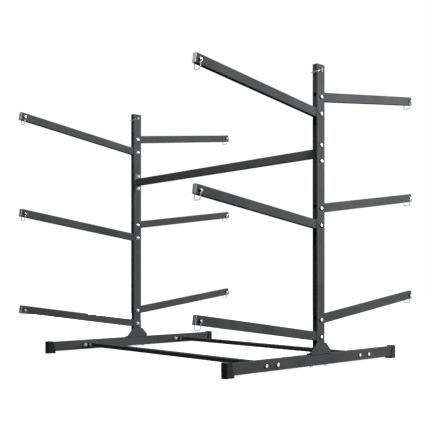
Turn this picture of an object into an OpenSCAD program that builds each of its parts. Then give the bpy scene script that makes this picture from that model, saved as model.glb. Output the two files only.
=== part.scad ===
// Freestanding rack for six kayaks: two upright frames on long feet, six
// sloping arms a frame, tied by one upper and two lower crossbars.
// +X runs along the arms, +Y from the near frame to the far one, +Z up.
// The origin is on the floor, midway between the frames.

/* [Frames] */
// Distance between the centre planes of the two frames
frame_gap = 1508; // [1000:4:2000]

/* [Posts] */
// Height of a post's top above the bolt of its highest arm
post_above = 161; // [115:1:300]
// Width of the post tube, along the arms
post_w = 60; // [54:1:70]
// Depth of the post tube, across the arms
post_d = 30; // [28:1:36]
// Wall of the post tube
post_wall = 2; // [1.5:0.25:2.5]
// Thickness of the plastic plug in the top of a post
post_plug_t = 3; // [2:0.5:5]

/* [Base of a post] */
// Half the length of the base plate
plate_half = 75; // [70:1:100]
// Thickness of the base plate
plate_t = 5; // [4:0.5:8]
// Thickness of the gusset plate
gusset_t = 4; // [3:0.5:5]
// Height of the gusset above the base plate
gusset_h = 50; // [40:1:60]
// Half the width of the gusset at its top
gusset_top = 36; // [36:1:50]
// Height of the upright lip at the foot of the gusset
gusset_lip = 12; // [6:1:20]
// Distance of a base bolt from the middle of the post
base_bolt_x = 56; // [52:1:60]

/* [Feet] */
// Length of a foot over its end caps
foot_l = 1312; // [1100:4:1500]
// Height of the foot tube
foot_h = 55; // [48:1:70]
// Width of the foot tube
foot_w = 30; // [30:1:50]
// Wall of the foot tube
foot_wall = 2; // [1.5:0.25:3]

/* [Foot caps] */
// Thickness of the cap under the tube, which stands on the floor
cap_pad = 11; // [10:0.5:20]
// Thickness of the cap over, beside and behind the tube
cap_wall = 4; // [2.5:0.5:6]
// Length of the cap along its top
cap_top_l = 38; // [30:1:60]
// Extra length of the cap along its bottom
cap_slant = 17; // [5:1:25]
// Radius of the cap's upright outer corners
cap_r = 14; // [6:1:14]
// Width of the upright grooves in the cap's end
groove_w = 2.5; // [1:0.5:3]
// Depth of the upright grooves in the cap's end
groove_d = 1.2; // [0.5:0.1:1.5]

/* [Arms] */
// Reach of an arm from the middle of the post to its tip, along the arm
arm_reach = 830; // [600:5:1000]
// Height of the arm tube
arm_h = 45; // [40:1:50]
// Width of the arm tube
arm_w = 22; // [20:1:23]
// Wall of the arm tube
arm_wall = 2; // [1.5:0.25:2.5]
// Upward slope of the arms, in degrees
arm_tilt = 7.9; // [4:0.1:10]
// Height of the bolt of the lowest right arm
right_low_z = 235; // [215:1:300]
// Height of the bolt of the lowest left arm
left_low_z = 151; // [145:1:160]
// Height from one arm to the next above it
arm_pitch = 552; // [420:1:560]
// Length of the plug inside an arm's tip
plug_in = 12; // [8:1:13]
// Thickness of the plug's face
plug_t = 3; // [2:0.5:4]

/* [Crossbars] */
// Longer side of the crossbar tube
bar_h = 45; // [40:1:48]
// Shorter side of the crossbar tube
bar_w = 22; // [20:1:24]
// Wall of the crossbar tube
bar_wall = 2; // [1.5:0.25:2.5]
// Height of the upper crossbar over the middle of its gap
bar_up = 40; // [-60:1:60]
// Distance of a lower bar from the middle of the rack
low_bar_x = 357; // [250:1:450]
// Length of the bolted end plates
end_plate_l = 110; // [104:1:130]
// Thickness of the bolted end plates
end_plate_t = 4; // [3:0.5:6]
// Distance between the two bolts of an end plate
end_bolts = 78; // [74:1:84]
// Length of the stub inside the end of a lower bar
stub_l = 60; // [55:1:90]
// Distance of the lock bolt of a lower bar from the foot
lock_bolt_y = 40; // [30:1:45]

/* [Bolts] */
// Diameter of the bolts
bolt_d = 10; // [8:1:10]
// Diameter of the flange under a bolt's head and under a nut
flange_d = 20; // [18:0.5:20]
// Width across the flats of a head or nut
bolt_af = 16; // [14:0.5:16]
// Height of a bolt's head
bolt_head = 6.5; // [5:0.25:8]
// Height of a nut
nut_h = 8.5; // [7:0.25:10]
// Length of thread that stands out of a nut
thread_out = 7; // [4:0.5:8]

/* [Lock pins] */
// Diameter of a lock pin
pin_d = 10; // [8:0.5:11]
// Distance of the pin from an arm's tip
pin_from_tip = 25; // [24:1:30]
// Distance of the upper pin from the top of its post
pin_from_top = 25; // [25:1:35]
// Length of a pin's head
head_l = 10; // [10:0.5:12]
// Diameter of the collar of a pin's head
collar_d = 18; // [16:0.5:22]
// Diameter of the knob that the wire goes through
knob_d = 10; // [9:0.5:12]
// Diameter of the spring wire
wire_d = 4; // [3:0.25:4]
// Distance from the pin's middle to the end of the wire's loop
wire_reach = 43.5; // [43:0.5:48]
// Radius of the loop's corners
wire_corner = 9; // [7:0.5:9]
// Radius of the wire's small bends
wire_bend = 3.5; // [3:0.25:4]
// Turn of the upper pin's wire from hanging straight down
wire_turn = 66; // [50:1:120]

/* [Hidden] */
$fn = 40;

// Clearances
bolt_fit = 0.25;    // bolt in its hole, on the radius
pin_fit = 0.06;     // pin and wire in their bores, on the radius
nut_fit = 0.05;     // nut on its thread, on the radius
slot_fit = 0.3;     // arm in the post's slot, each side
plug_fit = 0.2;     // plug and stub in their tubes, each side
cap_fit = 0.1;      // foot tube in its cap, each side
seat_gap = 0.3;     // collar of a pin off the tube
back_gap = 1.5;     // wire off the back of the post
hook_gap = 0.3;     // wire under the pin's tail

// Places that follow from the sizes
near = -1;
far = 1;
left = -1;
right = 1;
rack_h = right_low_z + 2 * arm_pitch + post_above;
bar_z = (arm_z(right, 1) + arm_z(left, 2)) / 2 + bar_up;
foot_z0 = cap_pad;
foot_z1 = foot_z0 + foot_h;
foot_zm = foot_z0 + foot_h / 2;
post_z0 = foot_z1 + plate_t;
post_z1 = rack_h - post_plug_t;
plate_w = post_d + gusset_t;
tube_end = foot_l / 2 - cap_wall;
arm_tube_end = arm_reach - plug_t;
arm_in = post_w / 2 - post_wall - arm_h / 2 * sin(arm_tilt) - slot_fit;
pin_s = arm_reach - pin_from_tip;
pin_x = pin_s * cos(arm_tilt);
pin_rise = pin_s * sin(arm_tilt);
post_pin_z = rack_h - pin_from_top;
bolt_r = bolt_d / 2;
bolt_hole_r = bolt_r + bolt_fit;
pin_r = pin_d / 2;
pin_hole_r = pin_r + pin_fit;
wire_r = wire_d / 2;
collar_t = 2.2;
knob_hole = collar_t + 0.6 + wire_r;
leg_x = knob_d / 2 + wire_bend + 0.1;
jog = (leg_x - 2 * wire_bend) / sin(45) + 2 * wire_bend;
jog_h = jog * sin(45) + 2 * wire_bend * sin(45);
bail_span = knob_hole + seat_gap + post_d + back_gap + wire_r;
bail_front = -knob_hole;
bail_back = bail_front + bail_span;
loop_z = wire_corner - wire_reach;
hook_x = pin_r + hook_gap + wire_r;
// The tail reaches as far behind a frame as the head does in front
pin_l = (post_d + arm_w) / 2 + 2 * seat_gap + head_l;
tube_r = 3;
// Resting turn of the wire: hung from an arm, and clear of the post
hang_turn = 6;
post_turn = min([for (t = [wire_turn : 130]) if (post_gap(t) > seat_gap) t]);
window_h = 18;
window_w = post_d - 2 * post_wall - 6;
window_up = 9.5;

// Gap from the loop's corners to the post's side at a turn of the pin
function post_gap(turn) = min([
    for (a = [0 : 5 : 90], s = [-1, 1])
        let (y = (bail_front + bail_back - post_d) / 2 - seat_gap
                 + s * (bail_span / 2 - wire_corner * (1 - cos(a))),
             x = (wire_reach - wire_corner * (1 - sin(a))) * sin(turn),
             out_x = max(x - post_w / 2 + tube_r, 0),
             out_y = max(abs(y) - post_d / 2 + tube_r, 0))
        norm([out_x, out_y]) - tube_r - wire_r
]);
function frame_y(f) = f * frame_gap / 2;
function arm_z(side, level) =
    (side == right ? right_low_z : left_low_z) + level * arm_pitch;

// ---- shared forms ----

// Rectangle with round corners, centred
module round_rect(w, h, r) {
    square([w - 2 * r, h], center = true);
    square([w, h - 2 * r], center = true);
    for (x = [-1, 1], y = [-1, 1])
        translate([x * (w / 2 - r), y * (h / 2 - r)]) circle(r);
}

// Rectangular tube along +Z with its seam-free round corners
module tube(w, h, wall, length, r = tube_r) {
    linear_extrude(length) difference() {
        round_rect(w, h, r);
        round_rect(w - 2 * wall, h - 2 * wall, max(r - wall, 0.5));
    }
}

// Hole along Y, centred
module y_hole(r, length) {
    rotate([90, 0, 0]) cylinder(r = r, h = length, center = true);
}

// Hexagon with its top corners turned off, standing on z = 0
module hex_form(h) {
    corner = bolt_af / cos(30) / 2;
    intersection() {
        rotate(30) cylinder(r = corner, h = h, $fn = 6);
        union() {
            cylinder(r = corner + 0.1, h = h - 1.2);
            translate([0, 0, h - 1.2])
                cylinder(r1 = corner + 0.1, r2 = bolt_af / 2 - 0.3, h = 1.2);
        }
    }
}

// Bolt: the shank runs down -Z from the flange's face at z = 0
module bolt(length) {
    cylinder(r = flange_d / 2, h = 1.5);
    hex_form(bolt_head);
    translate([0, 0, 1 - length]) cylinder(r = bolt_r, h = length);
    translate([0, 0, -length])
        cylinder(r1 = bolt_r - 1, r2 = bolt_r, h = 1);
}

// Nut with its flange on z = 0
module nut() {
    difference() {
        union() {
            cylinder(r = flange_d / 2, h = 1.5);
            hex_form(nut_h);
        }
        translate([0, 0, -1]) cylinder(r = bolt_r + nut_fit, h = nut_h + 2);
    }
}

// Places children on the outer face of a frame, -Z into the tube
module outer_face(f, x, z, face) {
    translate([x, frame_y(f) + f * face, z]) rotate([-90 * f, 0, 0])
        children();
}

// Places children on the inner face of a frame, +Z out of the tube
module inner_face(f, x, z, face) {
    translate([x, frame_y(f) - f * face, z]) rotate([90 * f, 0, 0])
        children();
}

// Arm's own frame: +X out along the arm from the middle of the post
module at_arm(f, side, level) {
    translate([0, frame_y(f), arm_z(side, level)])
        mirror([side == left ? 1 : 0, 0, 0])
            rotate([0, -arm_tilt, 0]) children();
}

// ---- posts ----

module gusset() {
    low = plate_half - 1;
    linear_extrude(gusset_t) polygon([
        [-low, 0], [low, 0], [low, gusset_lip], [gusset_top, gusset_h],
        [-gusset_top, gusset_h], [-low, gusset_lip]
    ]);
}

// Slot that an arm goes through in one side wall of the post
module arm_slot(side, level) {
    wall_x = post_w / 2 - post_wall / 2;
    rise = wall_x * tan(arm_tilt);
    high = arm_h / cos(arm_tilt) + post_wall * tan(arm_tilt) + 2 * slot_fit;
    translate([side * wall_x, 0, arm_z(side, level) + rise])
        cube([post_wall + 1, arm_w + 2 * slot_fit, high], center = true);
}

// Small window in the wall opposite the slot
module window(side, level) {
    translate([-side * (post_w - post_wall) / 2, 0,
               arm_z(side, level) + window_up])
        cube([post_wall + 1, window_w, window_h], center = true);
}

module post(f) {
    color([0.24, 0.25, 0.25]) translate([0, frame_y(f), 0]) difference() {
        union() {
            translate([0, 0, post_z0])
                tube(post_w, post_d, post_wall, post_z1 - post_z0);
            translate([-plate_half, post_d / 2 - plate_w, foot_z1])
                cube([2 * plate_half, plate_w, plate_t]);
            translate([0, -post_d / 2, post_z0]) rotate([90, 0, 0])
                gusset();
        }
        for (side = [left, right], level = [0 : 2]) {
            arm_slot(side, level);
            window(side, level);
            translate([0, 0, arm_z(side, level)])
                y_hole(bolt_hole_r, post_d + 20);
        }
        for (s = [-1, 1])
            translate([0, 0, bar_z + s * end_bolts / 2])
                y_hole(bolt_hole_r, post_d + 20);
        translate([0, 0, post_pin_z]) y_hole(pin_hole_r, post_d + 20);
        for (s = [-1, 1])
            translate([s * base_bolt_x, 0, foot_z1 - 1])
                cylinder(r = bolt_hole_r, h = plate_t + 2);
    }
}

module near_post() { post(near); }
module far_post() { post(far); }

// Plastic plug for an open tube end, face up, inside part below z = 0
module tube_plug(w, h, wall, face, inside) {
    linear_extrude(face - 1) round_rect(w, h, tube_r);
    translate([0, 0, face - 1])
        linear_extrude(1) round_rect(w - 2, h - 2, tube_r - 1);
    iw = w - 2 * wall - 2 * plug_fit;
    ih = h - 2 * wall - 2 * plug_fit;
    translate([0, 0, -inside]) linear_extrude(inside)
        square([iw - 2, ih - 2], center = true);
    for (k = [1 : 3])
        translate([0, 0, -inside * k / 3.5]) linear_extrude(1.2)
            round_rect(iw, ih, 1);
}

module post_plugs() {
    color([0.1, 0.1, 0.1]) for (f = [near, far])
        translate([0, frame_y(f), post_z1])
            tube_plug(post_w, post_d, post_wall, post_plug_t, 14);
}

// ---- feet ----

module foot(f) {
    color([0.24, 0.25, 0.25]) translate([0, frame_y(f), foot_zm])
        difference() {
            translate([-tube_end, 0, 0]) rotate([90, 0, 90])
                tube(foot_w, foot_h, foot_wall, 2 * tube_end);
            for (side = [left, right], s = [-1, 1])
                translate([side * low_bar_x + s * end_bolts / 2, 0, 0])
                    y_hole(bolt_hole_r, foot_w + 20);
            for (s = [-1, 1])
                translate([s * base_bolt_x, 0, 0])
                    cylinder(r = bolt_hole_r, h = foot_h + 20, center = true);
        }
}

module near_foot() { foot(near); }
module far_foot() { foot(far); }

// Moulded cap over a foot's right end, in place along X and Z
module foot_cap() {
    out = foot_l / 2;
    deep = foot_w + 2 * cap_wall;
    high = foot_z1 + cap_wall;
    inner_top = out - cap_top_l;
    inner_low = inner_top - cap_slant;
    difference() {
        intersection() {
            // plan with two round outer corners
            linear_extrude(high) union() {
                translate([inner_low, -deep / 2])
                    square([out - cap_r - inner_low, deep]);
                translate([inner_low, cap_r - deep / 2])
                    square([out - inner_low, deep - 2 * cap_r]);
                for (s = [-1, 1])
                    translate([out - cap_r, s * (deep / 2 - cap_r)])
                        circle(cap_r);
            }
            // side view with the slanted inner edge and eased rims
            translate([0, deep, 0]) rotate([90, 0, 0])
                linear_extrude(2 * deep) polygon([
                    [inner_low, 0], [out - 1.5, 0], [out, 1.5],
                    [out, high - 1.5], [out - 1.5, high],
                    [inner_top, high]
                ]);
        }
        // the tube's seat
        translate([inner_low - 1, 0, foot_zm]) rotate([90, 0, 90])
            linear_extrude(tube_end - inner_low + 1)
                round_rect(foot_w + 2 * cap_fit, foot_h + 2 * cap_fit, 3);
        // grip grooves down the end
        for (k = [-1 : 1])
            translate([out - groove_d, k * cap_r * 0.6 - groove_w / 2, 6])
                cube([groove_d + 1, groove_w, high - 12]);
        // cored pockets in the sole
        for (k = [0 : 1])
            translate([inner_low + 10 + k * 15, -foot_w / 2 + 3, -1])
                cube([9, foot_w - 6, cap_pad - 3]);
    }
}

module placed_cap(f, side) {
    color([0.12, 0.12, 0.12]) translate([0, frame_y(f), 0])
        mirror([side == left ? 1 : 0, 0, 0]) foot_cap();
}

module near_left_cap() { placed_cap(near, left); }
module near_right_cap() { placed_cap(near, right); }
module far_left_cap() { placed_cap(far, left); }
module far_right_cap() { placed_cap(far, right); }

// ---- arms ----

module arm(f, side, level) {
    color([0.24, 0.25, 0.25]) at_arm(f, side, level) difference() {
        translate([-arm_in, 0, 0]) rotate([90, 0, 90])
            tube(arm_w, arm_h, arm_wall, arm_tube_end + arm_in);
        y_hole(bolt_hole_r, arm_w + 20);
        translate([pin_s, 0, 0]) y_hole(pin_hole_r, arm_w + 20);
    }
}

module near_left_arm_top() { arm(near, left, 2); }
module near_left_arm_middle() { arm(near, left, 1); }
module near_left_arm_low() { arm(near, left, 0); }
module near_right_arm_top() { arm(near, right, 2); }
module near_right_arm_middle() { arm(near, right, 1); }
module near_right_arm_low() { arm(near, right, 0); }
module far_left_arm_top() { arm(far, left, 2); }
module far_left_arm_middle() { arm(far, left, 1); }
module far_left_arm_low() { arm(far, left, 0); }
module far_right_arm_top() { arm(far, right, 2); }
module far_right_arm_middle() { arm(far, right, 1); }
module far_right_arm_low() { arm(far, right, 0); }

module arm_plugs() {
    color([0.62, 0.63, 0.64])
        for (f = [near, far], side = [left, right], level = [0 : 2])
            at_arm(f, side, level)
                translate([arm_tube_end, 0, 0]) rotate([90, 0, 90])
                    tube_plug(arm_w, arm_h, arm_wall, plug_t, plug_in);
}

// ---- crossbars ----

// End plate with its two bolt holes, length along X, standing on z = 0
module end_plate(width) {
    linear_extrude(end_plate_t) difference() {
        round_rect(end_plate_l, width, 4);
        for (s = [-1, 1])
            translate([s * end_bolts / 2, 0]) circle(bolt_hole_r);
    }
}

module upper_crossbar() {
    from = frame_gap / 2 - post_d / 2;
    color([0.2, 0.21, 0.21]) translate([0, 0, bar_z]) union() {
        translate([0, end_plate_t - from, 0]) rotate([-90, 0, 0])
            tube(bar_w, bar_h, bar_wall, 2 * (from - end_plate_t));
        for (f = [near, far])
            translate([0, f * from, 0]) rotate([90 * f, 90, 0])
                end_plate(bar_h);
    }
}

module lower_bar(side) {
    from = (frame_gap - foot_w) / 2 - end_plate_t;
    color([0.2, 0.21, 0.21])
        translate([side * low_bar_x, 0, foot_zm]) difference() {
            translate([0, -from, 0]) rotate([-90, 0, 0])
                tube(bar_h, bar_w, bar_wall, 2 * from);
            for (f = [near, far])
                translate([0, f * (from + end_plate_t - lock_bolt_y), 0])
                    rotate([0, 90, 0])
                        cylinder(r = bolt_hole_r, h = bar_h + 20,
                                 center = true);
        }
}

module left_lower_bar() { lower_bar(left); }
module right_lower_bar() { lower_bar(right); }

// Plate on the foot with a stub that the lower bar slips over
module bracket() {
    w = bar_h - 2 * bar_wall - 2 * plug_fit;
    h = bar_w - 2 * bar_wall - 2 * plug_fit;
    difference() {
        union() {
            end_plate(bar_h);
            tube(w, h, 2, end_plate_t + stub_l, 1.5);
        }
        translate([0, 0, lock_bolt_y]) rotate([0, 90, 0])
            cylinder(r = bolt_hole_r, h = bar_h + 20, center = true);
    }
}

module bar_brackets() {
    color([0.2, 0.21, 0.21]) for (f = [near, far], side = [left, right])
        inner_face(f, side * low_bar_x, foot_zm, foot_w / 2) bracket();
}

// ---- bolts and nuts ----

module arm_bolts() {
    color([0.8, 0.8, 0.8])
        for (f = [near, far], side = [left, right], level = [0 : 2])
            outer_face(f, 0, arm_z(side, level), post_d / 2)
                bolt(post_d + nut_h + thread_out);
}

module bar_bolts() {
    color([0.8, 0.8, 0.8]) for (f = [near, far]) {
        for (s = [-1, 1])
            outer_face(f, 0, bar_z + s * end_bolts / 2, post_d / 2)
                bolt(post_d + end_plate_t + nut_h + thread_out);
        for (side = [left, right], s = [-1, 1])
            outer_face(f, side * low_bar_x + s * end_bolts / 2, foot_zm,
                       foot_w / 2)
                bolt(foot_w + end_plate_t + nut_h + thread_out);
    }
}

module base_bolts() {
    color([0.8, 0.8, 0.8]) for (f = [near, far], s = [-1, 1])
        translate([s * base_bolt_x, frame_y(f), post_z0])
            bolt(foot_h + plate_t + nut_h);
}

module lock_bolts() {
    color([0.8, 0.8, 0.8]) for (f = [near, far], side = [left, right])
        translate([side * low_bar_x - bar_h / 2,
                   f * ((frame_gap - foot_w) / 2 - lock_bolt_y), foot_zm])
            rotate([0, -90, 0]) bolt(bar_h + nut_h + thread_out);
}

module nuts() {
    color([0.78, 0.78, 0.78]) for (f = [near, far]) {
        for (side = [left, right]) {
            for (level = [0 : 2])
                inner_face(f, 0, arm_z(side, level), post_d / 2) nut();
            for (s = [-1, 1])
                inner_face(f, side * low_bar_x + s * end_bolts / 2, foot_zm,
                           foot_w / 2 + end_plate_t) nut();
            translate([side * low_bar_x + bar_h / 2,
                       f * ((frame_gap - foot_w) / 2 - lock_bolt_y),
                       foot_zm])
                rotate([0, 90, 0]) nut();
            translate([side * base_bolt_x, frame_y(f), foot_z0])
                rotate([180, 0, 0]) nut();
        }
        for (s = [-1, 1])
            inner_face(f, 0, bar_z + s * end_bolts / 2,
                       post_d / 2 + end_plate_t) nut();
    }
}

// ---- lock pins ----

// Pin: shaft along +Y from its collar's face at y = 0, head towards -Y
module lock_pin() {
    difference() {
        union() {
            rotate([-90, 0, 0]) cylinder(r = pin_r, h = pin_l - 1.5);
            translate([0, pin_l - 1.5, 0]) rotate([-90, 0, 0])
                cylinder(r1 = pin_r, r2 = pin_r - 1.5, h = 1.5);
            rotate([90, 0, 0]) cylinder(r = collar_d / 2, h = collar_t);
            rotate([90, 0, 0]) cylinder(r = knob_d / 2, h = head_l - 1);
            translate([0, 1 - head_l, 0]) rotate([90, 0, 0])
                cylinder(r1 = knob_d / 2, r2 = knob_d / 2 - 1, h = 1);
        }
        translate([0, -knob_hole, 0]) rotate([0, 90, 0])
            cylinder(r = wire_r + pin_fit, h = knob_d + 4, center = true);
    }
}

// Arc of wire in the XZ plane, about its own centre
module arc(r, from, angle) {
    rotate([90, 0, 0]) rotate([0, 0, from])
        rotate_extrude(angle = angle) translate([r, 0]) circle(wire_r);
}

// Straight wire along +Z
module wire(length) { cylinder(r = wire_r, h = length); }

// Quarter bend of the loop under the tube, about its own centre
module loop_corner(from) {
    rotate([0, 90, 0]) rotate([0, 0, from])
        rotate_extrude(angle = 90) translate([wire_corner, 0])
            circle(wire_r);
}

// Front leg: out of the knob, back to the middle and down
module front_leg() {
    out = knob_d / 2 + 2;
    turn_x = leg_x - wire_bend;
    jog_z = -wire_bend - jog_h;
    translate([-out, bail_front, 0]) rotate([0, 90, 0]) wire(out + turn_x);
    translate([turn_x, bail_front, -wire_bend]) {
        arc(wire_bend, -45, 135);
        rotate([0, 45, 0]) translate([wire_bend, 0, -jog]) wire(jog);
    }
    translate([wire_bend, bail_front, jog_z]) arc(wire_bend, 135, 45);
    translate([0, bail_front, loop_z]) wire(jog_z - loop_z);
}

// Back leg: up to a hook round the pin's tail
module back_leg() {
    low = -hook_x - wire_bend;
    translate([0, bail_back, loop_z]) wire(low - loop_z);
    translate([-wire_bend, bail_back, low]) arc(wire_bend, 0, 90);
    translate([wire_bend - hook_x, bail_back, -hook_x]) rotate([0, 90, 0])
        wire(hook_x - 2 * wire_bend);
    translate([wire_bend - hook_x, bail_back, wire_bend - hook_x])
        arc(wire_bend, 180, 90);
    translate([-hook_x, bail_back, wire_bend - hook_x])
        wire(hook_x - wire_bend + 2);
    translate([-hook_x, bail_back, 2]) sphere(wire_r);
}

// One bent wire from the knob round under the tube. It hangs down -Z.
module bail_form() {
    back_leg();
    translate([0, bail_back - wire_corner, loop_z]) loop_corner(0);
    translate([0, bail_front + wire_corner, -wire_reach])
        rotate([-90, 0, 0]) wire(bail_span - 2 * wire_corner);
    translate([0, bail_front + wire_corner, loop_z]) loop_corner(-90);
    front_leg();
}

// Pin's own frame on an arm: the collar's face at y = 0, hung upright
module at_arm_pin(f, side, level) {
    translate([side * pin_x, frame_y(f) - arm_w / 2 - seat_gap,
               arm_z(side, level) + pin_rise])
        rotate([0, hang_turn, 0]) children();
}

module at_post_pin(f) {
    translate([0, frame_y(f) - post_d / 2 - seat_gap, post_pin_z])
        rotate([0, post_turn, 0]) children();
}

module arm_pin(f, side, level) {
    color([0.82, 0.82, 0.84]) at_arm_pin(f, side, level)
        lock_pin();
}

module arm_bail(f, side, level) {
    color([0.82, 0.82, 0.84]) at_arm_pin(f, side, level)
        bail_form();
}

module near_left_pin_top() { arm_pin(near, left, 2); }
module near_left_pin_middle() { arm_pin(near, left, 1); }
module near_left_pin_low() { arm_pin(near, left, 0); }
module near_right_pin_top() { arm_pin(near, right, 2); }
module near_right_pin_middle() { arm_pin(near, right, 1); }
module near_right_pin_low() { arm_pin(near, right, 0); }
module far_left_pin_top() { arm_pin(far, left, 2); }
module far_left_pin_middle() { arm_pin(far, left, 1); }
module far_left_pin_low() { arm_pin(far, left, 0); }
module far_right_pin_top() { arm_pin(far, right, 2); }
module far_right_pin_middle() { arm_pin(far, right, 1); }
module far_right_pin_low() { arm_pin(far, right, 0); }

module near_left_bail_top() { arm_bail(near, left, 2); }
module near_left_bail_middle() { arm_bail(near, left, 1); }
module near_left_bail_low() { arm_bail(near, left, 0); }
module near_right_bail_top() { arm_bail(near, right, 2); }
module near_right_bail_middle() { arm_bail(near, right, 1); }
module near_right_bail_low() { arm_bail(near, right, 0); }
module far_left_bail_top() { arm_bail(far, left, 2); }
module far_left_bail_middle() { arm_bail(far, left, 1); }
module far_left_bail_low() { arm_bail(far, left, 0); }
module far_right_bail_top() { arm_bail(far, right, 2); }
module far_right_bail_middle() { arm_bail(far, right, 1); }
module far_right_bail_low() { arm_bail(far, right, 0); }

module post_pin(f) {
    color([0.82, 0.82, 0.84]) at_post_pin(f)
        lock_pin();
}

module post_bail(f) {
    color([0.82, 0.82, 0.84]) at_post_pin(f)
        bail_form();
}

module near_post_pin() { post_pin(near); }
module far_post_pin() { post_pin(far); }
module near_post_bail() { post_bail(near); }
module far_post_bail() { post_bail(far); }

near_post();
far_post();
post_plugs();
near_foot();
far_foot();
near_left_cap();
near_right_cap();
far_left_cap();
far_right_cap();
near_left_arm_top();
near_left_arm_middle();
near_left_arm_low();
near_right_arm_top();
near_right_arm_middle();
near_right_arm_low();
far_left_arm_top();
far_left_arm_middle();
far_left_arm_low();
far_right_arm_top();
far_right_arm_middle();
far_right_arm_low();
arm_plugs();
upper_crossbar();
left_lower_bar();
right_lower_bar();
bar_brackets();
arm_bolts();
bar_bolts();
base_bolts();
lock_bolts();
nuts();
near_left_pin_top();
near_left_pin_middle();
near_left_pin_low();
near_right_pin_top();
near_right_pin_middle();
near_right_pin_low();
far_left_pin_top();
far_left_pin_middle();
far_left_pin_low();
far_right_pin_top();
far_right_pin_middle();
far_right_pin_low();
near_post_pin();
far_post_pin();
near_left_bail_top();
near_left_bail_middle();
near_left_bail_low();
near_right_bail_top();
near_right_bail_middle();
near_right_bail_low();
far_left_bail_top();
far_left_bail_middle();
far_left_bail_low();
far_right_bail_top();
far_right_bail_middle();
far_right_bail_low();
near_post_bail();
far_post_bail();
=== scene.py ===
"""Dresses the kayak rack for a studio picture: powder-coated steel tube,
moulded end caps and plugs, zinc-plated bolts and lock pins, welds and a pale
stage. Lengths in the tables are millimetres, and meshes are in metres."""
import math

import bmesh
import bpy
import numpy as np
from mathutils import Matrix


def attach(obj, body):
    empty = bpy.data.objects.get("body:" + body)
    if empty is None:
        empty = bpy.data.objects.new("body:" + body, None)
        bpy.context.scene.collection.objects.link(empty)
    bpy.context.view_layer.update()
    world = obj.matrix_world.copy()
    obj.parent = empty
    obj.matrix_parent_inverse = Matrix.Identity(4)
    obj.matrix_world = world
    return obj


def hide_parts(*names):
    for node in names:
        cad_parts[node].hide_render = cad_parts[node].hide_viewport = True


bl_info = {
    "name": "Kayak Rack Finish",
    "version": (1, 0, 0),
    "blender": (4, 5, 0),
    "location": "View3D > Sidebar > Kayak Rack",
    "description": "Finishes, fasteners, welds and stage for a kayak rack",
    "category": "Object",
}

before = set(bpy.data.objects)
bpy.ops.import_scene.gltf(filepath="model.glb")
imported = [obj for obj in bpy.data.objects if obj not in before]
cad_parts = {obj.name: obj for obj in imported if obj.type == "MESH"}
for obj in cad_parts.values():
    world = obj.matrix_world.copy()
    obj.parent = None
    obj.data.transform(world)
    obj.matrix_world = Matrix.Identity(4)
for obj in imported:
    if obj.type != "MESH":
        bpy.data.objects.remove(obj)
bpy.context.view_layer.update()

MM = 0.001

# ---- the rack's own sizes ----

FRAME_Y = 754.0         # from the middle to each frame
POST_D = 30.0
POST_W = 60.0
ARM_W = 22.0
FOOT_W = 30.0
FOOT_MID = 38.5         # height of the feet's middle
FOOT_LOW = 11.0         # height of the feet's underside
BASE_TOP = 71.0         # height of the base plates' top
GUSSET_H = 50.0
BAR_Z = 1061.0          # height of the upper crossbar
BAR_H = 45.0
BAR_W = 22.0
LOW_BAR_X = 357.0       # from the posts' line to each lower bar
PLATE_T = 4.0           # end plates
LEFT_LOW_Z, RIGHT_LOW_Z, ARM_PITCH = 151.0, 235.0, 552.0
ARM_BOLTS_Z = [low + level * ARM_PITCH
               for low in (LEFT_LOW_Z, RIGHT_LOW_Z) for level in range(3)]

# ---- fasteners ----

BOLT_STEP = 39.0        # from an end plate's middle to its bolts
BASE_BOLT_X = 56.0
LOCK_BOLT_Y = 40.0      # from a foot's side to the lock bolt of its bar
CROWN_IN = 0.5          # from a head's flats to the circle of its top
HEAD_DISH = 0.4         # how deep the middle of a head's top lies
HEAD_RIM = 1.2          # width of the flat ring round that dish
HEAD_DROPS = np.array([[0.3], [0.7], [1.2]])    # rows of its chamfer
NUT_H = 8.5
NUT_CROWN_IN = 0.4
NUT_DROPS = np.array([[1.1], [0.6], [0.25]])
NUT_BORE_CHAMFER = (0.8, 0.7)       # its width and depth
FLANGE_ROWS = ((0.9, 1.0), (1.3, 0.98))     # height, share of its radius
FLANGE_NECK = (2.0, 0.86)
FLANGE_TOP = 2.3
THREAD_OUT = 7.0        # thread that stands out of a nut
THREAD_IN = 4.0         # thread that is hidden before a nut
THREAD_ROUNDS = 6       # rows of points to a turn of thread
THREAD_DEPTH = 0.61     # of the pitch, for a metric thread
THREAD_START = 0.3      # run-in of the thread at the shank
TIP_CHAMFER = 1.2
TIP_IN = 0.4
WASHER_T = 1.8
EDGE = 0.3              # broken edge of a washer
BORE_GAP = 0.05
CONE_SLOPE = 1.73       # a chamfer's cone lies 30 degrees off the flat
# the angles of the points round a bolt, nut or washer
ROUND = np.linspace(0, 2 * math.pi, 48, endpoint=False)

# ---- lock pins ----

PIN_PLAY = 0.3          # from a tube's side to a pin's collar
COLLAR_SHADE_BAND = (-2.4, 0.1)   # the collar's rim and face, from its seat, where black is painted as shade beside the knob

# ---- welds ----

RIPPLE_MM = 2.2         # from one ripple of a bead to the next
RIPPLE_SWELL = 0.09
BEAD_ROUND = 0.14       # how far the bead's corners stand past its middle
BEAD_ROOT = -0.15       # the bead's hidden root, in the metal
BEAD_COLS = 10
BEAD_STEP = 0.5
BEAD_TAPER = 1.5        # legs' length over which an end tapers
BEAD_THIN = 0.15        # share of its legs that an end keeps
WELD_INSET = 3.0        # from a corner to where a bead starts
BEAD_SHORT = 1.0        # from a gusset's top to where its bead ends
GUSSET_BEAD = 0.9       # share of the leg at the gussets
PLATE_BEAD = 0.85       # share of the leg at the end plates

# ---- meshes ----

MERGE_DIST = 2e-6
SLIVER_DIST = 1e-6
PARALLEL = 1e-6
SHARP_ANGLE = math.radians(32)

# ---- materials ----

MIX_A, MIX_B, MIX_COLOUR = 6, 7, 2      # a Mix node's colour sockets
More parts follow.
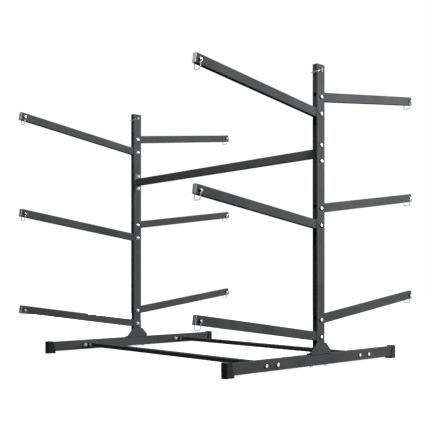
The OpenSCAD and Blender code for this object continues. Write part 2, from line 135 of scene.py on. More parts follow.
# a finish drifts between its colour times these two
PAINT_SHADES = (0.88, 1.12)
PLASTIC_SHADES = (0.85, 1.15)
ZINC_SHADES = (0.86, 1.06)
NOISE_RANGE = (0.3, 0.7)        # where most of a noise lies
FILM_RANGE = (0.45, 0.8)        # the same for the sum under the paint
SPECK_SHARE = 0.25              # of the specks in that sum
# what a pattern's low and high add to the roughness
PAINT_ROUGH = (-0.05, 0.07)
PLASTIC_ROUGH = (0.08, -0.06)
ZINC_ROUGH = (-0.06, 0.1)
# specular levels: 0.5 is the usual one, and 0 gives no highlight
FRAME_GLOSS = 0.0
BAR_GLOSS = 0.05
PLASTIC_GLOSS = 0.06
CAP_ROUGHNESS = 0.5
PLUG_ROUGHNESS = 0.38
PIN_ROUGHNESS = 0.28
WIRE_ROUGHNESS = 0.3
BOLT_ROUGHNESS = 0.3
TURNED_SCRATCH = 0.4    # real ones are 0.05 mm apart: coarse, to show
FORGED_SCRATCH = 0.8

# ---- stage ----

SENSOR_W = 36.0
VIEW_END = 60.0         # metres
FLOOR_HALF = 30.0       # metres
FLOOR_SHOWN = 0.9       # the floor as the camera sees it
FLOOR_LIT = 0.03        # the floor as it lights the rack
GLOW = (0.86, 1.0)      # the floor's glow near the rack and far off
GLOW_FADE = (1.6, 4.0)  # metres from the middle
LAMP_AIM = np.array([0.0, 0.0, 1.0])
LAMPS = (               # name, place and width in metres
    ("key", (1.2, -3.2, 2.6), 0.8),
    ("side", (6.5, -4.5, 1.5), 0.6),
    ("fill", (-0.9, -0.9, 2.7), 0.6),
    ("edge", (-1.7, -0.8, 2.1), 0.4),
    # so low that the floor it lights, behind the far left low arm, whitens
    # that arm's edges in the picture
    ("back", (2.2, 5.0, 0.4), 0.8))


def hex_rgb(code):
    """Linear RGB from an sRGB hex value: a channel is divided by 12.92 where
    dark, or else raised by 0.055, divided by 1.055 and taken to 2.4."""
    part = [int(code[i:i + 2], 16) / 255 for i in (1, 3, 5)]
    return tuple(v / 12.92 if v <= 0.04045 else ((v + 0.055) / 1.055) ** 2.4
                 for v in part)


# black painted as shade on the face and rim of the lock pins' collars
PAINTED_SHADE_BLACK = (*hex_rgb("#1c1d1e"), 1.0)


def shade(colour, k):
    """A colour times k, with alpha."""
    return (*(min(1.0, v * k) for v in tuple(colour)[:3]), 1.0)


def grey(value):
    """A grey colour with alpha."""
    return (value, value, value, 1.0)


# ---- mesh helpers ----

def grid_faces(rows, cols, wrap_rows, wrap_cols):
    """Quads of a rows x cols grid of points, closed in either way: each one
    joins a point, the next in its row, and the same two a row on."""
    i = np.arange(rows if wrap_rows else rows - 1)
    j = np.arange(cols if wrap_cols else cols - 1)
    i, j = np.meshgrid(i, j, indexing="ij")
    i2, j2 = (i + 1) % rows, (j + 1) % cols
    return np.stack([i * cols + j, i * cols + j2, i2 * cols + j2,
                     i2 * cols + j], -1).reshape(-1, 4)


def make_piece(name, parts, body, material):
    """One object from several grids: each is (points, wrap rows, wrap cols).
    Points are millimetres, rows x cols x 3."""
    verts, faces, at = [], [], 0
    for points, wrap_rows, wrap_cols in parts:
        rows, cols = points.shape[:2]
        faces.append(grid_faces(rows, cols, wrap_rows, wrap_cols) + at)
        verts.append(points.reshape(-1, 3) * MM)
        at += rows * cols
    verts, faces = np.concatenate(verts), np.concatenate(faces)
    mesh = bpy.data.meshes.new(name)
    mesh.vertices.add(len(verts))
    mesh.vertices.foreach_set("co", verts.astype(np.float32).ravel())
    mesh.loops.add(faces.size)
    mesh.loops.foreach_set("vertex_index", faces.astype(np.int32).ravel())
    mesh.polygons.add(len(faces))
    mesh.polygons.foreach_set(
        "loop_start", np.arange(0, faces.size, 4, dtype=np.int32))
    mesh.polygons.foreach_set(
        "loop_total", np.full(len(faces), 4, dtype=np.int32))
    mesh.update(calc_edges=True)
    clean_mesh(mesh)
    piece = bpy.data.objects.new(name, mesh)
    bpy.context.scene.collection.objects.link(piece)
    mesh.materials.append(material)
    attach(piece, body)
    return piece


def clean_mesh(mesh):
    """Merges doubled points, turns faces outwards and keeps hard edges."""
    work = bmesh.new()
    work.from_mesh(mesh)
    bmesh.ops.remove_doubles(work, verts=work.verts, dist=MERGE_DIST)
    bmesh.ops.dissolve_degenerate(work, edges=work.edges, dist=SLIVER_DIST)
    bmesh.ops.recalc_face_normals(work, faces=work.faces)
    for face in work.faces:
        face.smooth = True
    for edge in work.edges:
        if len(edge.link_faces) == 2:
            edge.smooth = edge.calc_face_angle(0.0) < SHARP_ANGLE
    work.to_mesh(mesh)
    work.free()


def to_axis(points, place, axis):
    """Moves points made about +Z so that +Z lies along axis at place: each
    is its x, y and z times three unit vectors square to each other, the
    third along the axis, plus the place."""
    w = np.asarray(axis, float)
    w = w / np.linalg.norm(w)
    u = np.cross((0.0, 0.0, 1.0), w)
    if np.linalg.norm(u) < PARALLEL:
        u = np.array([1.0, 0.0, 0.0])
    u = u / np.linalg.norm(u)
    v = np.cross(w, u)
    return (points[..., :1] * u + points[..., 1:2] * v
            + points[..., 2:] * w + np.asarray(place, float))


def placed(points, places, wrap_rows):
    """Copies of one turned form, as grids for make_piece."""
    return [(to_axis(points, seat, axis), wrap_rows, True)
            for seat, axis in places]


# ---- material helpers ----

def add(tree, kind, settings=None, links=None):
    """Adds a node. Settings go to its attributes or inputs, and links join
    its inputs, by name or number, to the outputs of other nodes."""
    node = tree.nodes.new(kind)
    for key, value in (settings or {}).items():
        if isinstance(key, int) or key in node.inputs:
            node.inputs[key].default_value = value
        else:
            setattr(node, key, value)
    for key, source in (links or {}).items():
        tree.links.new(source, node.inputs[key])
    return node


def new_material(name):
    """An empty material, its tree, and a link to Object coordinates."""
    material = bpy.data.materials.new(name)
    material.use_nodes = True
    tree = material.node_tree
    tree.nodes.clear()
    coords = add(tree, "ShaderNodeTexCoord").outputs["Object"]
    return material, tree, {"Vector": coords}


def grain(across_mm, detail=2.0, rough=0.5):
    """Settings of a noise whose features are about so many mm across."""
    return {"Scale": 1.0 / (across_mm * MM), "Detail": detail,
            "Roughness": rough}


def spread(to, start=NOISE_RANGE):
    """Settings that stretch one range to another."""
    return {"From Min": start[0], "From Max": start[1],
            "To Min": to[0], "To Max": to[1]}


def mottle(tree, pattern, colour, shades, start=NOISE_RANGE):
    """A colour that drifts from its dark to its light shade as a pattern
    goes through a range."""
    part = add(tree, "ShaderNodeMapRange", spread((0.0, 1.0), start),
               {"Value": pattern})
    mix = add(tree, "ShaderNodeMix", {
        "data_type": "RGBA", MIX_A: shade(colour, shades[0]),
        MIX_B: shade(colour, shades[1])},
        {"Factor": part.outputs["Result"]})
    return mix.outputs[MIX_COLOUR]


def around(value, swing):
    """The two values that a swing takes a value to."""
    return (value + swing[0], value + swing[1])


def finish_skin(tree, settings, base, rough, height, depth_mm, strength):
    """The shader with its colour and uneven roughness, a bump of a depth
    from a height pattern, and the output."""
    bump = add(tree, "ShaderNodeBump", {
        "Strength": strength, "Distance": depth_mm * MM}, {"Height": height})
    shader = add(tree, "ShaderNodeBsdfPrincipled", settings, {
        "Base Color": base, "Roughness": rough,
        "Normal": bump.outputs["Normal"]})
    add(tree, "ShaderNodeOutputMaterial", None,
        {"Surface": shader.outputs["BSDF"]})


def powder_coat(name, colour, roughness, gloss):
    """Polyester powder coat, sprayed and baked on steel tube: an even skin,
    nearly matt in soft light, with an orange peel of about 2 mm and a faint
    drift in tone."""
    material, tree, coords = new_material(name)
    # orange peel is 1 to 2 mm across and some 30 micrometres deep
    peel = add(tree, "ShaderNodeTexNoise", grain(1.8, 3.0, 0.55),
               coords).outputs["Fac"]
    # film thickness drifts over about 120 mm of tube
    drift = add(tree, "ShaderNodeTexNoise", grain(120.0, 3.0, 0.6),
                coords).outputs["Fac"]
    speck = add(tree, "ShaderNodeTexNoise", grain(0.9, 1.0),
                coords).outputs["Fac"]
    # the tone follows the film, with a quarter of the specks on top
    film = add(tree, "ShaderNodeMath", {
        "operation": "MULTIPLY_ADD", 1: SPECK_SHARE}, {0: speck, 2: drift})
    base = mottle(tree, film.outputs[0], colour, PAINT_SHADES, FILM_RANGE)
    rough = add(tree, "ShaderNodeMapRange", spread(
        around(roughness, PAINT_ROUGH)), {"Value": peel})
    finish_skin(tree, {"IOR": 1.5, "Specular IOR Level": gloss}, base,
                rough.outputs["Result"], peel, 0.03, 0.6)
    return material


def moulded(name, colour, roughness):
    """Injection-moulded plastic: a spark-eroded matt grain with slightly
    shinier high spots."""
    material, tree, coords = new_material(name)
    # the eroded grain is about 0.8 mm across and 40 micrometres deep
    eroded = add(tree, "ShaderNodeTexNoise", grain(0.8, 2.0, 0.6),
                 coords).outputs["Fac"]
    # flow of the melt shows as a slow change over about 25 mm
    flow = add(tree, "ShaderNodeTexNoise", grain(25.0),
               coords).outputs["Fac"]
    base = mottle(tree, flow, colour, PLASTIC_SHADES)
    rough = add(tree, "ShaderNodeMapRange", spread(
        around(roughness, PLASTIC_ROUGH)), {"Value": eroded})
    finish_skin(tree, {"IOR": 1.51, "Specular IOR Level": PLASTIC_GLOSS},
                base, rough.outputs["Result"], eroded, 0.04, 0.5)
    return material


def zinc_plate(name, colour, roughness, scratch_mm, shade_band=None):
    """Bright zinc over steel, with a clear passivation: a cool silver with
    cloudy spots and fine scratches. Where y lies in a range, given as its low
    and high in mm, the zinc is painted black as shade: the shade beside a lock
    pin's knob, on the face and rim of its collar."""
    material, tree, coords = new_material(name)
    # the clouds of the passivation are about 6 mm across
    cloud = add(tree, "ShaderNodeTexNoise", grain(6.0, 3.0, 0.6),
                coords).outputs["Fac"]
    scratch = add(tree, "ShaderNodeTexNoise", grain(scratch_mm, 1.0),
                  coords).outputs["Fac"]
    base = mottle(tree, cloud, colour, ZINC_SHADES)
    if shade_band:
        # 1 where y is within half the range's width of its middle, where black
        # is painted as shade
        part = add(tree, "ShaderNodeSeparateXYZ", None, coords)
        off = add(tree, "ShaderNodeMath", {
            "operation": "SUBTRACT", 1: (shade_band[0] + shade_band[1]) / 2 * MM},
            {0: part.outputs["Y"]})
        inside = add(tree, "ShaderNodeMath", {
            "operation": "COMPARE", 1: 0.0,
            2: (shade_band[1] - shade_band[0]) / 2 * MM}, {0: off.outputs[0]})
        base = add(tree, "ShaderNodeMix", {
            "data_type": "RGBA", MIX_B: PAINTED_SHADE_BLACK}, {
            "Factor": inside.outputs[0], MIX_A: base}).outputs[MIX_COLOUR]
    rough = add(tree, "ShaderNodeMapRange", spread(
        around(roughness, ZINC_ROUGH)), {"Value": cloud})
    finish_skin(tree, {"Metallic": 1.0}, base, rough.outputs["Result"],
                scratch, 0.015, 0.5)
    return material


def dress(names, material):
    """Gives CAD nodes a material."""
    for name in names:
        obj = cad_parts[name]
        obj.data.materials.clear()
        obj.data.materials.append(material)


def nodes_like(*words):
    """The CAD nodes whose name has one of the words in it."""
    return [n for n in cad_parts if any(w in n for w in words)]


# ---- properties ----

def colour_prop(label, text, code):
    """A colour, by its sRGB hex value."""
    return bpy.props.FloatVectorProperty(
        name=label, description=text, subtype="COLOR", size=3,
        default=hex_rgb(code))


def length_prop(label, text, mm, least, most):
    """A length, by its value and limits in millimetres."""
    return bpy.props.FloatProperty(
        name=label, description=text, unit="LENGTH", precision=4,
        default=mm * MM, min=least * MM, max=most * MM)


def power_prop(label, watts):
    """The power of a lamp, in watts."""
    return bpy.props.FloatProperty(
        name=label, description=f"Power of the {label.lower()} light",
        unit="POWER", default=watts, min=0.0)


class RackFinish(bpy.types.PropertyGroup):
    """Colours and roughness of the rack's paints, plastics and zinc"""
    frame_paint: colour_prop(
        "Frame paint", "Powder coat of posts, feet and arms", "#4f5152")
    bar_paint: colour_prop(
        "Lower bar paint", "Powder coat of the lower bars", "#505253")
    # the crossbar's coat is the frame's powder coat made lighter, as painted
    # light on its shaded side face
    crossbar_coat_painted_light: colour_prop(
        "Crossbar paint", "Powder coat of the upper crossbar", "#747677")
    # the washers also take this colour, as painted shade under the bolt heads
    cap_colour: colour_prop(
        "Cap", "Moulded caps of the feet, and the washers", "#242526")
    plug_colour: colour_prop(
        "Plug", "Moulded plugs in the arms' tips", "#cdcfd1")
    zinc: colour_prop("Zinc", "Bolts, nuts and lock pins", "#b2b5b8")
    # the bails' zinc is made darker than the pins' zinc, as painted shade
    bail_zinc_painted_shade: colour_prop(
        "Wire", "Zinc on the drawn wire of the bails", "#8c8e90")
    paint_roughness: bpy.props.FloatProperty(
        name="Paint roughness", subtype="FACTOR", default=0.42,
        description="Roughness of the powder coat of frame and crossbar",
        min=0.1, max=0.9)
    bar_roughness: bpy.props.FloatProperty(
        name="Bar roughness", subtype="FACTOR", default=0.8,
        description="Roughness of the powder coat of the lower bars",
        min=0.1, max=0.9)


class RackFasteners(bpy.types.PropertyGroup):
    """Sizes of the bolts, washers, nuts and welds"""
    bolt_d: length_prop("Bolt", "Thread diameter", 10.0, 4.0, 12.0)
    flats: length_prop("Across flats", "Hexagon width", 16.0, 8.0, 20.0)
    flange_d: length_prop(
        "Flange", "Diameter of washers and nut flanges", 20.0, 10.0, 26.0)
    head_h: length_prop(
        "Head height", "From a bolt's seat to the top", 6.5, 3.0, 10.0)
    pitch: length_prop("Pitch", "Thread pitch", 1.5, 0.7, 2.0)
    bead: length_prop("Weld bead", "Weld leg", 2.6, 1.0, 5.0)


class RackStage(bpy.types.PropertyGroup):
    """Place of the camera and strength of the lights"""
    lens: bpy.props.FloatProperty(
        name="Lens", description="Focal length in millimetres",
        unit="CAMERA", default=61.37, min=20.0, max=200.0)
    heading: bpy.props.FloatProperty(
        name="Heading", description="Turn of the camera about the vertical",
        default=math.radians(-42.833), subtype="ANGLE")
    eye: bpy.props.FloatVectorProperty(
        name="Eye", description="Place of the camera", subtype="XYZ",
        unit="LENGTH", size=3, default=(-2.8523, -3.0738, 0.4347))
    rise: bpy.props.FloatProperty(
        name="Rise", default=0.1499,
        description="Upward shift of the view, as a share of its width")
    key_power: power_prop("Key", 130.0)
    side_power: power_prop("Side", 300.0)
    fill_power: power_prop("Fill", 10.0)
    edge_power: power_prop("Edge", 8.0)
    back_power: power_prop("Back", 200.0)
    sky: bpy.props.FloatProperty(
        name="Sky", description="Strength of the soft surrounding light",
        default=0.02, min=0.0)


def own_keys(group):
    """Names of the properties that a group has beside Blender's own two."""
    return [key for key in group.bl_rna.properties.keys()
            if key not in ("rna_type", "name")]


def in_mm(group):
    """A property group's lengths in millimetres, by name, rounded where a
    property's single precision ends."""
    return {key: round(getattr(group, key) / MM, 4)
            for key in own_keys(group)}


# ---- fasteners and welds ----

def turned(rows):
    """Form turned about +Z: a row is a height, or a column of heights, and
    the radius there, as one number or one for each angle. Each point is the
    radius times the angle's cosine and sine, at its height."""
    z = np.concatenate([np.reshape(h, (-1, 1)) + 0 * ROUND for h, _ in rows])
    rad = np.concatenate([0 * np.reshape(h, (-1, 1)) + 0 * ROUND + r
                          for h, r in rows])
    return np.stack([rad * np.cos(ROUND), rad * np.sin(ROUND), z], -1)


def hexagon(flats):
    """Radius of a hexagon at each angle: half the flats over the cosine of
    the angle to the nearest flat."""
    near_flat = (ROUND + math.pi / 6) % (math.pi / 3) - math.pi / 6
    return flats / 2 / np.cos(near_flat)


def chamfer(hexa, crown, drops):
    """Hexagon cut by a cone: the smaller of its radius and the crown's,
    which grows by the cone's slope with each drop from the end."""
    return np.minimum(hexa, crown + drops * CONE_SLOPE)


def bolt_points(length, size):
    """Bolt about +Z with its washer's seat at z = 0, in rows from the top of
    the head to the tip: a hexagon cut by a cone, a round shank, and a
    helical ridge, whose phase is height over pitch less one turn of the
    angle. The ridge's radius falls by its depth times twice the phase less
    one, without the sign. The tip is cut by a 45 degree cone."""
    r, top, pitch = size["bolt_d"] / 2, size["head_h"], size["pitch"]
    hexa, crown = hexagon(size["flats"]), size["flats"] / 2 - CROWN_IN
    begin = length - NUT_H - THREAD_OUT - THREAD_IN
    down = np.arange(begin + THREAD_START, length,
                     pitch / THREAD_ROUNDS)[:, None]
    phase = (down / pitch - ROUND / (2 * math.pi)) % 1.0
    ridge = np.abs(2 * phase - 1) * THREAD_DEPTH * pitch
    limit = r - TIP_CHAMFER + np.clip(length - down, 0, TIP_CHAMFER)
    return turned([
        (top - HEAD_DISH, 0.0), (top - HEAD_DISH, crown / 2),
        (top, crown - HEAD_RIM), (top, crown),
        (top - HEAD_DROPS, chamfer(hexa, crown, HEAD_DROPS)),
        (WASHER_T, hexa), (WASHER_T, r), (-begin, r),
        (-down, np.minimum(r - ridge, limit)),
        (-length, r - TIP_CHAMFER - TIP_IN), (-length, 0.0)])


def washer_points(size):
    """Washer about +Z on z = 0: a closed ring with broken edges."""
    rim, bore = size["flange_d"] / 2, size["bolt_d"] / 2 + BORE_GAP
    return turned([(0.0, bore), (0.0, rim - EDGE), (EDGE, rim),
                   (WASHER_T - EDGE, rim), (WASHER_T, rim - EDGE),
                   (WASHER_T, bore)])


def nut_points(size):
    """Flange nut about +Z on z = 0: a closed ring whose outside is a flange
    and a hexagon cut by a cone, and whose inside is the bore."""
    rim, bore = size["flange_d"] / 2, size["bolt_d"] / 2 + BORE_GAP
    hexa, crown = hexagon(size["flats"]), size["flats"] / 2 - NUT_CROWN_IN
    neck, (wide, deep) = FLANGE_NECK, NUT_BORE_CHAMFER
    return turned([
        (0.0, bore), (0.0, rim), *((z, k * rim) for z, k in FLANGE_ROWS),
        (neck[0], np.maximum(hexa, neck[1] * rim)), (FLANGE_TOP, hexa),
        (NUT_H - NUT_DROPS, chamfer(hexa, crown, NUT_DROPS)),
        (NUT_H, crown), (NUT_H, bore + wide), (NUT_H - deep, bore)])


def bolt_places():
    """Node name, seat, axis of the head and length of every bolt, with the
    seat and axis of its nut."""
    found = []
    extra = NUT_H + THREAD_OUT
    for f in (-1, 1):
        y = f * FRAME_Y
        out, into = (0, f, 0), (0, -f, 0)
        for z in ARM_BOLTS_Z:
            found.append(("arm_bolts", (0, y + f * POST_D / 2, z), out,
                          POST_D + extra, (0, y - f * POST_D / 2, z), into))
        inner = POST_D / 2 + PLATE_T
        for s in (-1, 1):
            z = BAR_Z + s * BOLT_STEP
            found.append(("bar_bolts", (0, y + f * POST_D / 2, z), out,
                          POST_D + PLATE_T + extra, (0, y - f * inner, z),
                          into))
            for side in (-1, 1):
                x = side * LOW_BAR_X + s * BOLT_STEP
                found.append((
                    "bar_bolts", (x, y + f * FOOT_W / 2, FOOT_MID), out,
                    FOOT_W + PLATE_T + extra,
                    (x, y - f * (FOOT_W / 2 + PLATE_T), FOOT_MID), into))
            found.append((
                "base_bolts", (s * BASE_BOLT_X, y, BASE_TOP), (0, 0, 1),
                BASE_TOP - FOOT_LOW + NUT_H, (s * BASE_BOLT_X, y, FOOT_LOW),
                (0, 0, -1)))
            low = f * (FRAME_Y - FOOT_W / 2 - LOCK_BOLT_Y)
            found.append((
                "lock_bolts", (s * LOW_BAR_X - BAR_H / 2, low, FOOT_MID),
                (-1, 0, 0), BAR_H + extra,
                (s * LOW_BAR_X + BAR_H / 2, low, FOOT_MID), (1, 0, 0)))
    return found


def bead_line(start, end, wall_a, wall_b, leg):
    """Fillet weld along a line, as a grid for make_piece: a rounded triangle
    between two walls, whose legs swell by a sine ripple and taper at the
    ends. Round the bead, the two legs are a cosine and a sine, and the
    corners are drawn out by the cosine of twice the angle."""
    start, end = np.asarray(start, float), np.asarray(end, float)
    t = np.linspace(0, 1, int(np.linalg.norm(end - start)
                              / BEAD_STEP) + 2)[:, None]
    path = start * (1 - t) + end * t
    step = np.gradient(path, axis=0)
    run = np.cumsum(np.linalg.norm(step, axis=1))
    size = leg * (1 + RIPPLE_SWELL * np.sin(2 * math.pi * run / RIPPLE_MM))
    ends = np.minimum(run - run[0], run[-1] - run)
    size = size * np.clip(ends / (BEAD_TAPER * leg), BEAD_THIN, 1.0)
    # a point closes each end
    path = np.concatenate([path[:1], path, path[-1:]])
    size = np.concatenate([[0.0], size, [0.0]])
    turn = np.linspace(0, math.pi / 2, BEAD_COLS)
    curve = 1 - BEAD_ROUND + BEAD_ROUND * np.abs(np.cos(2 * turn))
    ka = np.concatenate([curve * np.cos(turn), [BEAD_ROOT]])
    kb = np.concatenate([curve * np.sin(turn), [BEAD_ROOT]])
    across = (ka[:, None] * np.asarray(wall_a, float)
              + kb[:, None] * np.asarray(wall_b, float))
    return (path[:, None] + size[:, None, None] * across, False, True)


def weld_parts(leg):
    """Welds of the gussets to the posts, of the posts to their base plates
    and of the upper crossbar to its end plates."""
    parts = []
    for f in (-1, 1):
        y = f * FRAME_Y
        front, rear = y - POST_D / 2, y + POST_D / 2
        for s in (-1, 1):
            x = s * POST_W / 2
            parts.append(bead_line(
                (x, front, BASE_TOP + WELD_INSET),
                (x, front, BASE_TOP + GUSSET_H - BEAD_SHORT),
                (s, 0, 0), (0, 1, 0), leg * GUSSET_BEAD))
            parts.append(bead_line(
                (x, front + WELD_INSET, BASE_TOP),
                (x, rear - WELD_INSET, BASE_TOP),
                (s, 0, 0), (0, 0, 1), leg))
        wall = y - f * (POST_D / 2 + PLATE_T)
        high, wide = BAR_H / 2 - WELD_INSET, BAR_W / 2 - WELD_INSET
        for s in (-1, 1):
            parts.append(bead_line(
                (s * BAR_W / 2, wall, BAR_Z - high),
                (s * BAR_W / 2, wall, BAR_Z + high),
                (s, 0, 0), (0, -f, 0), leg * PLATE_BEAD))
            parts.append(bead_line(
                (-wide, wall, BAR_Z + s * BAR_H / 2),
                (wide, wall, BAR_Z + s * BAR_H / 2),
                (0, 0, s), (0, -f, 0), leg * PLATE_BEAD))
    return parts


# ---- stage ----

def background_seen(tree):
    """1 for the rays that show the background, straight to the camera, in a
    reflection or through glass, and 0 for light that falls on the rack."""
    path = add(tree, "ShaderNodeLightPath")
    seen = path.outputs["Is Camera Ray"]
    for ray in ("Is Glossy Ray", "Is Transmission Ray"):
        seen = add(tree, "ShaderNodeMath", {"operation": "MAXIMUM"},
                   {0: seen, 1: path.outputs[ray]}).outputs[0]
    return seen


def floor_material():
    """Matt studio paper: white where it is seen, with the shadow kept, and a
    darker ground for the light that bounces up under the rack."""
    material, tree, coords = new_material("pale_floor")
    paper = add(tree, "ShaderNodeBsdfDiffuse", {"Color": grey(FLOOR_SHOWN)})
    # the glow makes up for the lamps' light, which fades away from the rack
    away = add(tree, "ShaderNodeVectorMath", {"operation": "LENGTH"},
               {0: coords["Vector"]})
    fade = add(tree, "ShaderNodeMapRange", spread(GLOW, GLOW_FADE),
               {"Value": away.outputs["Value"]})
    glow = add(tree, "ShaderNodeEmission", {"Color": grey(1)},
               {"Strength": fade.outputs["Result"]})
    bright = add(tree, "ShaderNodeAddShader", None,
                 {0: paper.outputs[0], 1: glow.outputs[0]})
    ground = add(tree, "ShaderNodeBsdfDiffuse", {"Color": grey(FLOOR_LIT)})
    mix = add(tree, "ShaderNodeMixShader", None, {
        0: background_seen(tree), 1: ground.outputs[0],
        2: bright.outputs[0]})
    add(tree, "ShaderNodeOutputMaterial", None, {"Surface": mix.outputs[0]})
    return material


def studio_air(sky):
    """World that is white where it is seen, and a soft dim light on the
    rack."""
    world = bpy.data.worlds.new("studio_air")
    world.use_nodes = True
    tree = world.node_tree
    tree.nodes.clear()
    soft = add(tree, "ShaderNodeBackground", {
        "Color": grey(1), "Strength": sky})
    white = add(tree, "ShaderNodeBackground", {
        "Color": grey(1), "Strength": 1.0})
    mix = add(tree, "ShaderNodeMixShader", None, {
        0: background_seen(tree), 1: soft.outputs[0], 2: white.outputs[0]})
    add(tree, "ShaderNodeOutputWorld", None, {"Surface": mix.outputs[0]})
    return world


# ---- operators ----

class RACK_OT_camera(bpy.types.Operator):
    """Sets the camera level, at the height and heading of the picture"""
    bl_idname = "rack.camera"
    bl_label = "Camera"

    def execute(self, context):
        s = context.scene.rack_stage
        data = bpy.data.cameras.new("picture_camera")
        data.sensor_fit = "HORIZONTAL"
        data.sensor_width = SENSOR_W
        data.lens = s.lens
        data.shift_y = s.rise
        data.clip_end = VIEW_END
        camera = bpy.data.objects.new("picture_camera", data)
        camera.location = s.eye
        camera.rotation_euler = (math.pi / 2, 0.0, s.heading)
        context.scene.collection.objects.link(camera)
        context.scene.camera = camera
        return {"FINISHED"}


class RACK_OT_stage(bpy.types.Operator):
    """Lays a plain pale floor and sets the soft lights"""
    bl_idname = "rack.stage"
    bl_label = "Stage"

    def execute(self, context):
        s = context.scene.rack_stage
        mesh = bpy.data.meshes.new("floor")
        r = FLOOR_HALF
        mesh.from_pydata([(-r, -r, 0), (r, -r, 0), (r, r, 0), (-r, r, 0)],
                         [], [(0, 1, 2, 3)])
        floor = bpy.data.objects.new("floor", mesh)
        context.scene.collection.objects.link(floor)
        mesh.materials.append(floor_material())
        for name, place, width in LAMPS:
            data = bpy.data.lights.new(name, "AREA")
            data.shape = "DISK"
            data.size = width
            data.energy = getattr(s, name + "_power")
            lamp = bpy.data.objects.new(name, data)
            lamp.location = place
            aim = LAMP_AIM - np.array(place)
            yaw = math.atan2(aim[1], aim[0]) - math.pi / 2
            tilt = math.atan2(aim[2], math.hypot(aim[0], aim[1]))
            lamp.rotation_euler = (math.pi / 2 + tilt, 0.0, yaw)
            lamp.visible_camera = False
            # the back lamp leaves no highlight on the metal or paint
            lamp.visible_glossy = name != "back"
            context.scene.collection.objects.link(lamp)
        context.scene.world = studio_air(s.sky)
        context.scene.view_settings.view_transform = "Standard"
        return {"FINISHED"}


class RACK_OT_tubes(bpy.types.Operator):
    """Powder coats the posts, feet, arms, crossbars and brackets"""
    bl_idname = "rack.tubes"
    bl_label = "Tubes"

    def execute(self, context):
        f = context.scene.rack_finish
        coat = powder_coat("powder_coat_frame", f.frame_paint,
                           f.paint_roughness, FRAME_GLOSS)
        bars = powder_coat("powder_coat_bars", f.bar_paint,
                           f.bar_roughness, BAR_GLOSS)
        # the crossbar's coat is made lighter than the frame's, as painted
        # light
        cross = powder_coat("powder_coat_crossbar", f.crossbar_coat_painted_light,
                            f.paint_roughness, FRAME_GLOSS)
        dress(["near_post", "far_post"] + nodes_like("_foot", "_arm_"), coat)
        dress(["left_lower_bar", "right_lower_bar", "bar_brackets"], bars)
        dress(["upper_crossbar"], cross)
        return {"FINISHED"}


class RACK_OT_caps(bpy.types.Operator):
    """Gives the caps and plugs their moulded plastics"""
    bl_idname = "rack.caps"
    bl_label = "Caps and Plugs"

    def execute(self, context):
        f = context.scene.rack_finish
        cap = moulded("polyethylene_cap", f.cap_colour, CAP_ROUGHNESS)
        plug = moulded("polyethylene_plug", f.plug_colour, PLUG_ROUGHNESS)
        dress(nodes_like("_cap") + ["post_plugs"], cap)
        dress(["arm_plugs"], plug)
        return {"FINISHED"}


class RACK_OT_pins(bpy.types.Operator):
    """Plates the lock pins with black painted as shade on their collars, and
    plates the bails in zinc darkened as painted shade
    """
    bl_idname = "rack.pins"
    bl_label = "Lock Pins"

    def execute(self, context):
        f = context.scene.rack_finish
        # the bails' zinc is darker than the pins', as painted shade
        wire = zinc_plate("zinc_plate_wire", f.bail_zinc_painted_shade, WIRE_ROUGHNESS,
                          TURNED_SCRATCH)
        dress(nodes_like("_bail"), wire)
        for side, y in (("near", -FRAME_Y), ("far", FRAME_Y)):
            for kind, tube, words in (("arm", ARM_W, ("_left_", "_right_")),
                                      ("post", POST_D, ("_post_",))):
                # the pins' zinc gets black painted as shade on the face and
                # rim of each collar
                seat = y - tube / 2 - PIN_PLAY
                metal = zinc_plate(
                    f"zinc_plate_{side}_{kind}_pins", f.zinc, PIN_ROUGHNESS,
                    TURNED_SCRATCH, [seat + edge for edge in COLLAR_SHADE_BAND])
                dress([n for n in nodes_like("_pin") if n.startswith(side)
                       and any(w in n for w in words)], metal)
        return {"FINISHED"}


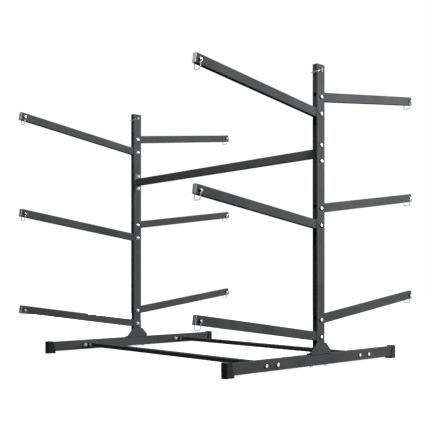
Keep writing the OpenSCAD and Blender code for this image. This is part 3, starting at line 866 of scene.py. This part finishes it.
class RACK_OT_bolts(bpy.types.Operator):
    """Makes the hexagon bolts with their threads, washers and flange nuts"""
    bl_idname = "rack.bolts"
    bl_label = "Bolts and Nuts"

    def execute(self, context):
        size = in_mm(context.scene.rack_fasteners)
        f = context.scene.rack_finish
        zinc = zinc_plate("zinc_plate_bolts", f.zinc, BOLT_ROUGHNESS,
                          FORGED_SCRATCH)
        places = bolt_places()
        for node in ("arm_bolts", "bar_bolts", "base_bolts", "lock_bolts"):
            parts = []
            for name, seat, axis, length, _, _ in places:
                if name == node:
                    parts += placed(bolt_points(length, size),
                                    [(seat, axis)], False)
            piece = make_piece("threaded_" + node, parts, "rack",
                               zinc)
            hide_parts(node)
        # the washers are black as painted shade under the bolt heads, in the
        # caps' colour
        black = moulded("black_nylon_washers", f.cap_colour, CAP_ROUGHNESS)
        parts = placed(washer_points(size), [p[1:3] for p in places], True)
        make_piece("washers", parts, "rack", black)
        parts = placed(nut_points(size), [p[4:6] for p in places], True)
        piece = make_piece("flange_nuts", parts, "rack", zinc)
        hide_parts("nuts")
        return {"FINISHED"}


class RACK_OT_welds(bpy.types.Operator):
    """Lays the painted weld beads"""
    bl_idname = "rack.welds"
    bl_label = "Welds"

    def execute(self, context):
        leg = in_mm(context.scene.rack_fasteners)["bead"]
        coat = bpy.data.materials["powder_coat_frame"]
        make_piece("weld_beads", weld_parts(leg), "rack", coat)
        return {"FINISHED"}


class RACK_PT_panel(bpy.types.Panel):
    """Lists the pieces of the kayak rack"""
    bl_idname = "RACK_PT_panel"
    bl_label = "Kayak Rack"
    bl_space_type = "VIEW_3D"
    bl_region_type = "UI"
    bl_category = "Kayak Rack"

    def draw(self, context):
        for maker in MAKERS:
            self.layout.operator(maker.bl_idname)
        for name in GROUPS:
            group = getattr(context.scene, name)
            for key in own_keys(group):
                self.layout.prop(group, key)


GROUPS = {"rack_finish": RackFinish, "rack_fasteners": RackFasteners,
          "rack_stage": RackStage}
MAKERS = (RACK_OT_camera, RACK_OT_stage, RACK_OT_tubes, RACK_OT_caps,
          RACK_OT_pins, RACK_OT_bolts, RACK_OT_welds)


def register():
    for cls in (*GROUPS.values(), *MAKERS, RACK_PT_panel):
        bpy.utils.register_class(cls)
    for name, group in GROUPS.items():
        setattr(bpy.types.Scene, name, bpy.props.PointerProperty(type=group))


def unregister():
    for name in GROUPS:
        delattr(bpy.types.Scene, name)
    for cls in reversed((*GROUPS.values(), *MAKERS, RACK_PT_panel)):
        bpy.utils.unregister_class(cls)


def main():
    """Makes every piece in order."""
    register()
    bpy.ops.rack.camera()
    bpy.ops.rack.stage()
    bpy.ops.rack.tubes()
    bpy.ops.rack.caps()
    bpy.ops.rack.pins()
    bpy.ops.rack.bolts()
    bpy.ops.rack.welds()


if __name__ == "__main__":
    main()
